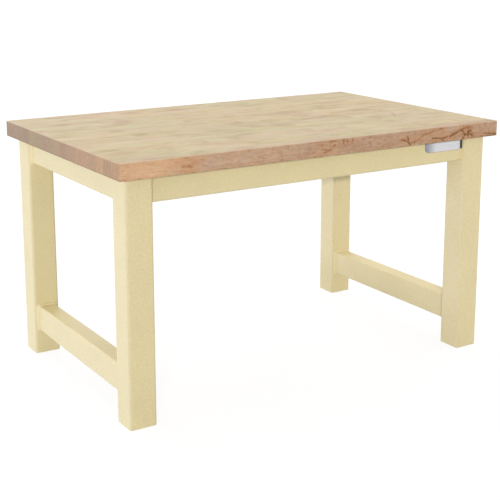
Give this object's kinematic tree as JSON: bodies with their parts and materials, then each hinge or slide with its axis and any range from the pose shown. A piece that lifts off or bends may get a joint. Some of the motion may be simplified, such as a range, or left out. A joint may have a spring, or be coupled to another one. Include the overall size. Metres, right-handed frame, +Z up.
{
  "type": "workbench",
  "caption": "Fixed workbench with a thick butcher-block top on welded square-tube end frames, joined by bolted front and rear rails, open for the knees.",
  "frame": {"origin": "on the floor under the middle of the top", "axes": "+X along the bench to its right-hand end, -Y out of its front, +Z up out of the work surface"},
  "size_m": [1.2192, 0.762, 0.6921],
  "materials": {
    "maple": "oiled edge-grain maple, sanded smooth, pinker on its edges",
    "powder_coat": "cream powder coat, semi-matt with a fine texture",
    "zinc_steel": "bright zinc plate",
    "satin_aluminium": "satin, brushed along its length",
    "black_plastic": "moulded, matt"
  },
  "bodies": {
    "root": {"butcher_block_top": "maple", "leg_front_left": "powder_coat", "leg_front_right": "powder_coat", "leg_rear_left": "powder_coat", "leg_rear_right": "powder_coat", "end_rail_left": "powder_coat", "end_rail_right": "powder_coat", "stretcher_left": "powder_coat", "stretcher_right": "powder_coat", "front_rail": "powder_coat", "rear_rail": "powder_coat", "front_rail_end_plate_left": "powder_coat", "front_rail_end_plate_right": "powder_coat", "rear_rail_end_plate_left": "powder_coat", "rear_rail_end_plate_right": "powder_coat", "nut_plate_front_left": "zinc_steel", "nut_plate_front_right": "zinc_steel", "nut_plate_rear_left": "zinc_steel", "nut_plate_rear_right": "zinc_steel", "rail_bolt_front_left_lower": "zinc_steel", "rail_bolt_front_left_upper": "zinc_steel", "rail_bolt_front_right_lower": "zinc_steel", "rail_bolt_front_right_upper": "zinc_steel", "rail_bolt_rear_left_lower": "zinc_steel", "rail_bolt_rear_left_upper": "zinc_steel", "rail_bolt_rear_right_lower": "zinc_steel", "rail_bolt_rear_right_upper": "zinc_steel", "rail_washer_front_left_lower": "zinc_steel", "rail_washer_front_left_upper": "zinc_steel", "rail_washer_front_right_lower": "zinc_steel", "rail_washer_front_right_upper": "zinc_steel", "rail_washer_rear_left_lower": "zinc_steel", "rail_washer_rear_left_upper": "zinc_steel", "rail_washer_rear_right_lower": "zinc_steel", "rail_washer_rear_right_upper": "zinc_steel", "top_screw_front_1": "zinc_steel", "top_screw_front_2": "zinc_steel", "top_screw_front_3": "zinc_steel", "top_screw_rear_1": "zinc_steel", "top_screw_rear_2": "zinc_steel", "top_screw_rear_3": "zinc_steel", "top_screw_left_1": "zinc_steel", "top_screw_left_2": "zinc_steel", "top_screw_right_1": "zinc_steel", "top_screw_right_2": "zinc_steel", "foot_plug_front_left": "black_plastic", "foot_plug_front_right": "black_plastic", "foot_plug_rear_left": "black_plastic", "foot_plug_rear_right": "black_plastic", "nameplate": "satin_aluminium", "nameplate_end_strip": "black_plastic"}
  },
  "joints": []
}
